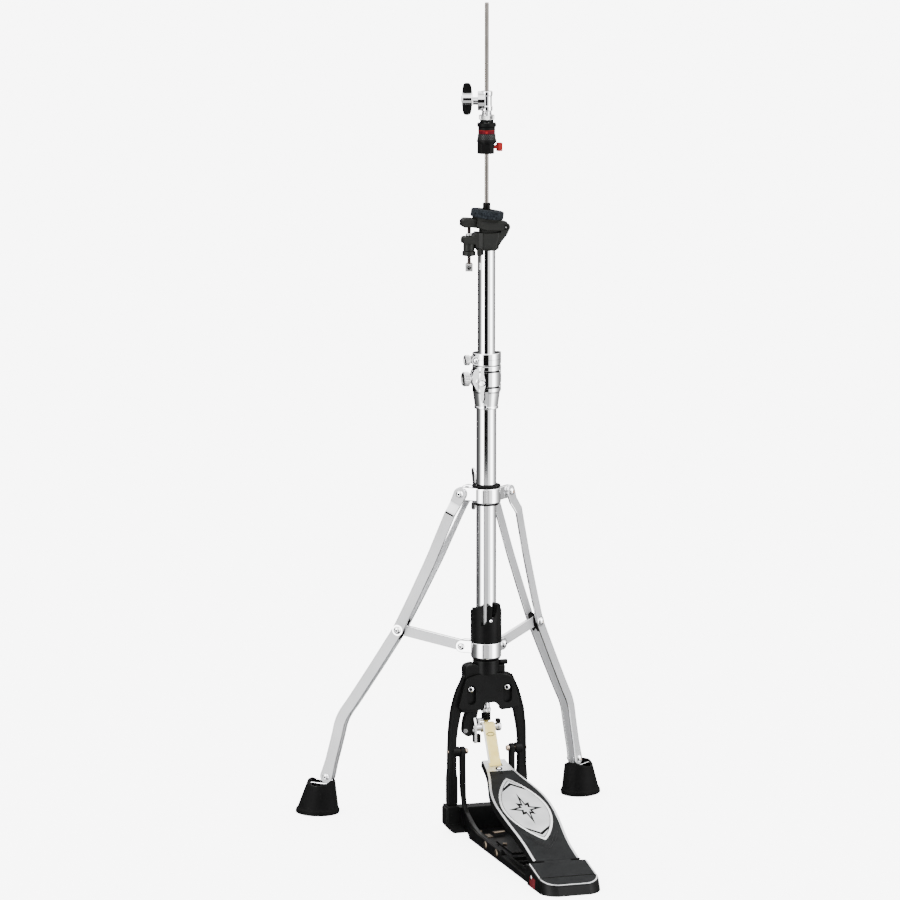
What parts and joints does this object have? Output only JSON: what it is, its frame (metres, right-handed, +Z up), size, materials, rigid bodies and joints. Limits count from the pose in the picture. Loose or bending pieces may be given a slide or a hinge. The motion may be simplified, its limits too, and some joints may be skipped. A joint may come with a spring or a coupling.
{
  "type": "hi-hat cymbal stand",
  "caption": "Chrome hi-hat stand with folding swivel legs, strap-drive footboard, two-stage height tube, tilting felt seat and sliding clutch on its pull rod.",
  "frame": {"origin": "on the axis of the tubes, at floor level", "axes": "+Z up along the tubes; -Y towards the player, along the pedal; the two legs spread to the rear on +Y"},
  "size_m": [0.4638, 0.5884, 1.184],
  "materials": {
    "chrome": "polished chrome plate",
    "bare_steel": "plain plated steel",
    "black_casting": "satin black powder coat on cast and pressed metal",
    "black_plastic": "fine-grained black moulding",
    "black_rubber": "matt black rubber",
    "silver_paint": "satin silver, bare on the rim and toe",
    "dark_felt": "dense dark blue-grey felt",
    "strap_webbing": "cream woven strap with pale edges",
    "red_plastic": "red moulded tab",
    "maroon_bushing": "dark red moulded bearing block"
  },
  "bodies": {
    "frame": {"a_frame": "black_casting", "base_bar": "black_casting", "base_tube": "chrome", "height_clamp": "chrome", "base_plate": "black_casting", "heel_plate": "black_casting", "heel_pin": "bare_steel", "heel_bearing_left": "maroon_bushing", "heel_bearing_right": "maroon_bushing", "radius_rod_left": "black_casting", "radius_rod_right": "black_casting", "rod_bolt_left": "bare_steel", "rod_bolt_right": "bare_steel", "head_screw_left": "chrome", "head_screw_right": "chrome", "return_spring": "bare_steel"},
    "clamp_knob": {"clamp_knob": "chrome"},
    "leg_hub": {"lower_collar": "chrome", "swivel_sleeve": "black_plastic", "strut_bolt_left": "chrome", "strut_bolt_right": "chrome"},
    "collar": {"upper_collar": "chrome", "collar_gasket": "black_rubber", "leg_bolt_left": "chrome", "leg_bolt_right": "chrome"},
    "collar_wing": {"collar_wing_bolt": "chrome"},
    "leg_left": {"outer_bar_left": "chrome", "inner_bar_left": "chrome", "foot_left": "black_rubber", "foot_bolt_left": "chrome", "knee_bolt_left": "chrome"},
    "leg_right": {"outer_bar_right": "chrome", "inner_bar_right": "chrome", "foot_right": "black_rubber", "foot_bolt_right": "chrome", "knee_bolt_right": "chrome"},
    "strut_left": {"strut_left": "chrome"},
    "strut_right": {"strut_right": "chrome"},
    "upper_tube": {"upper_tube": "chrome", "tilter_base": "black_casting", "seat_bushing": "black_plastic"},
    "memory_lock": {"memory_lock": "chrome"},
    "memory_bolt": {"memory_bolt": "chrome"},
    "seat": {"seat_plate": "black_casting", "seat_felt": "dark_felt"},
    "tilt_screw": {"tilt_screw": "chrome"},
    "rod": {"pull_rod": "chrome", "lower_rod": "chrome", "rod_nut": "chrome", "strap_hub": "chrome"},
    "strap": {"strap": "strap_webbing"},
    "pedal": {"footboard": "silver_paint", "traction_pad": "black_rubber", "toe_bolt": "chrome"},
    "clutch": {"clutch_body": "chrome", "clutch_sleeve": "black_plastic", "clutch_base": "black_plastic"},
    "clutch_wing": {"clutch_wing": "chrome"},
    "clutch_nut": {"clutch_nut": "bare_steel"},
    "clutch_release": {"clutch_release": "red_plastic"}
  },
  "joints": [
    {"name": "leg_swivel", "type": "hinge", "parent": "frame", "child": "leg_hub", "pos_m": [0, 0, 0.265], "axis": [0, 0, 1], "range_deg": [-40, 40]},
    {"name": "collar_slide", "type": "slide", "parent": "leg_hub", "child": "collar", "axis": [0, 0, 1], "range_m": [0, 0.1]},
    {"name": "leg_left_fold", "type": "hinge", "parent": "collar", "child": "leg_left", "pos_m": [-0.02421, 0.02031, 0.489], "axis": [-0.6428, -0.766, 0], "range_deg": [-0.5, 18.5]},
    {"name": "leg_right_fold", "type": "hinge", "parent": "collar", "child": "leg_right", "pos_m": [0.02421, 0.02031, 0.489], "axis": [-0.6428, 0.766, 0], "range_deg": [-0.5, 18.5]},
    {"name": "strut_left_fold", "type": "hinge", "parent": "leg_hub", "child": "strut_left", "pos_m": [-0.02681, 0.0225, 0.266], "axis": [0.6428, 0.766, 0], "range_deg": [-0.5, 64.2]},
    {"name": "strut_right_fold", "type": "hinge", "parent": "leg_hub", "child": "strut_right", "pos_m": [0.02681, 0.0225, 0.266], "axis": [0.6428, -0.766, 0], "range_deg": [-0.5, 64.2]},
    {"name": "collar_wing_turn", "type": "hinge", "parent": "collar", "child": "collar_wing", "pos_m": [0, 0.017, 0.487], "axis": [-0.0867, 0.9962, 0], "continuous": true},
    {"name": "clamp_knob_turn", "type": "hinge", "parent": "frame", "child": "clamp_knob", "pos_m": [-0.0274, -0.006, 0.655], "axis": [-1, 0, 0], "continuous": true},
    {"name": "tube_height", "type": "slide", "parent": "frame", "child": "upper_tube", "axis": [0, 0, 1], "range_m": [0, 0.06]},
    {"name": "memory_lock_slide", "type": "slide", "parent": "upper_tube", "child": "memory_lock", "axis": [0, 0, 1], "range_m": [0, 0.1]},
    {"name": "memory_bolt_turn", "type": "hinge", "parent": "memory_lock", "child": "memory_bolt", "pos_m": [-0.0264, -0.005, 0.6817], "axis": [-1, 0, 0], "continuous": true},
    {"name": "seat_tilt", "type": "hinge", "parent": "upper_tube", "child": "seat", "pos_m": [0.024, -0.001, 0.869], "axis": [0, 1, 0], "range_deg": [-7.5, 2]},
    {"name": "tilt_screw_travel", "type": "slide", "parent": "upper_tube", "child": "tilt_screw", "axis": [0, 0, 1], "range_m": [-0.0068, 0.002]},
    {"name": "footboard_press", "type": "hinge", "parent": "frame", "child": "pedal", "pos_m": [0, -0.315, 0.019], "axis": [-1, 0, 0], "range_deg": [0, 8]},
    {"name": "rod_pull", "type": "slide", "parent": "frame", "child": "rod", "axis": [0, 0, -1], "range_m": [-0.0005, 0.0355], "deforming": ["return_spring"]},
    {"name": "strap_swing", "type": "hinge", "parent": "rod", "child": "strap", "pos_m": [-0.0015, -0.01, 0.152], "axis": [1, 0, 0], "range_deg": [-0.5, 10.5]},
    {"name": "clutch_slide", "type": "slide", "parent": "rod", "child": "clutch", "axis": [0, 0, 1], "range_m": [-0.02, 0.09]},
    {"name": "clutch_wing_turn", "type": "hinge", "parent": "clutch", "child": "clutch_wing", "pos_m": [-0.0194, 0.0063, 1.049], "axis": [-0.9511, 0.309, 0], "continuous": true},
    {"name": "clutch_nut_turn", "type": "hinge", "parent": "clutch", "child": "clutch_nut", "pos_m": [0, 0, 1.0215], "axis": [0, 0, 1], "continuous": true},
    {"name": "clutch_release_turn", "type": "hinge", "parent": "clutch", "child": "clutch_release", "pos_m": [0, 0, 0.981], "axis": [0, 0, 1], "range_deg": [-35, 35]}
  ],
  "couplings": [
    {"joint": "leg_left_fold", "follows": "collar_slide", "rad_per_m": 3.1416},
    {"joint": "leg_right_fold", "follows": "collar_slide", "rad_per_m": 3.1416},
    {"joint": "strut_left_fold", "follows": "collar_slide", "rad_per_m": 11.118},
    {"joint": "strut_right_fold", "follows": "collar_slide", "rad_per_m": 11.118},
    {"joint": "tilt_screw_travel", "follows": "seat_tilt", "m_per_rad": 0.05},
    {"joint": "rod_pull", "follows": "footboard_press", "m_per_rad": 0.25067},
    {"joint": "strap_swing", "follows": "footboard_press", "ratio": 1.25}
  ]
}
